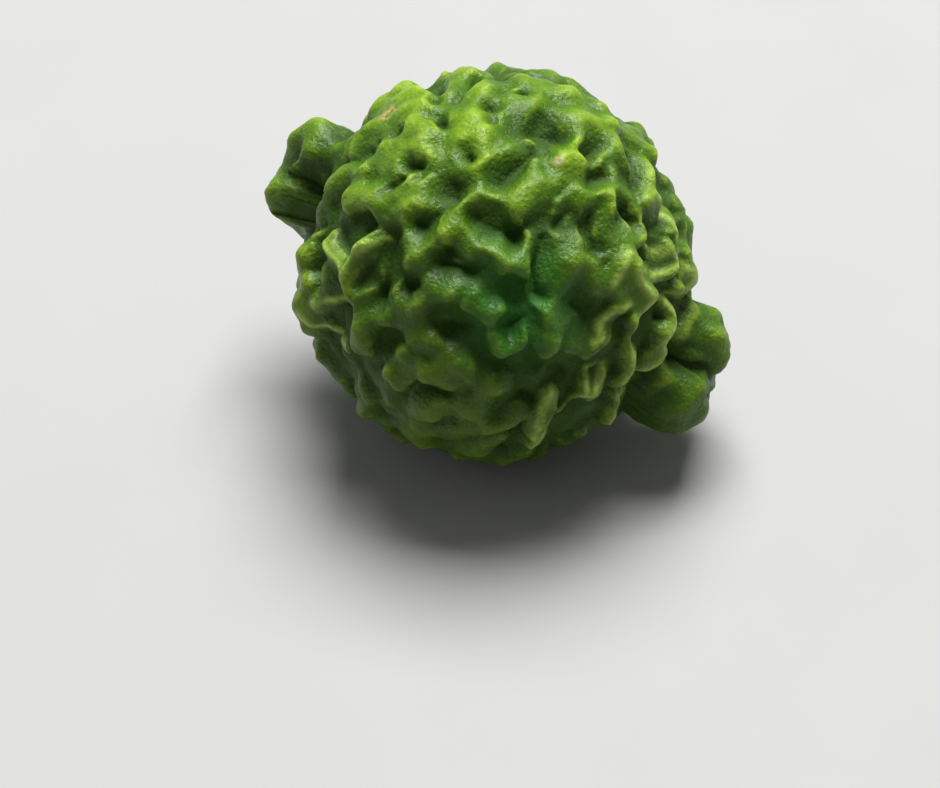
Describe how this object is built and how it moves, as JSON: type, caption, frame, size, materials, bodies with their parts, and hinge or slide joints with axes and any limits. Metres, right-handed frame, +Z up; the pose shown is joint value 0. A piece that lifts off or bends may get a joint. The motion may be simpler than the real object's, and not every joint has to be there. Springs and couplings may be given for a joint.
{
  "type": "makrut lime",
  "caption": "Whole makrut lime as picked, a warty green citrus fruit lying on its side, with a lobed neck and a dry stem button at one end and a creased nipple at the other.",
  "frame": {"origin": "centre of the flat spot that the fruit rests on, under the middle of its round body", "axes": "+Z up, +X along the fruit towards its blossom end, the stem end towards -X"},
  "size_m": [0.079, 0.0637, 0.0619],
  "materials": {
    "rind": "semi-gloss citrus rind, fresh green, bright on the warts and dark in the furrows",
    "stem": "matt, dry and corky"
  },
  "bodies": {
    "root": {"fruit": "rind", "stem_button": "stem"}
  },
  "joints": []
}
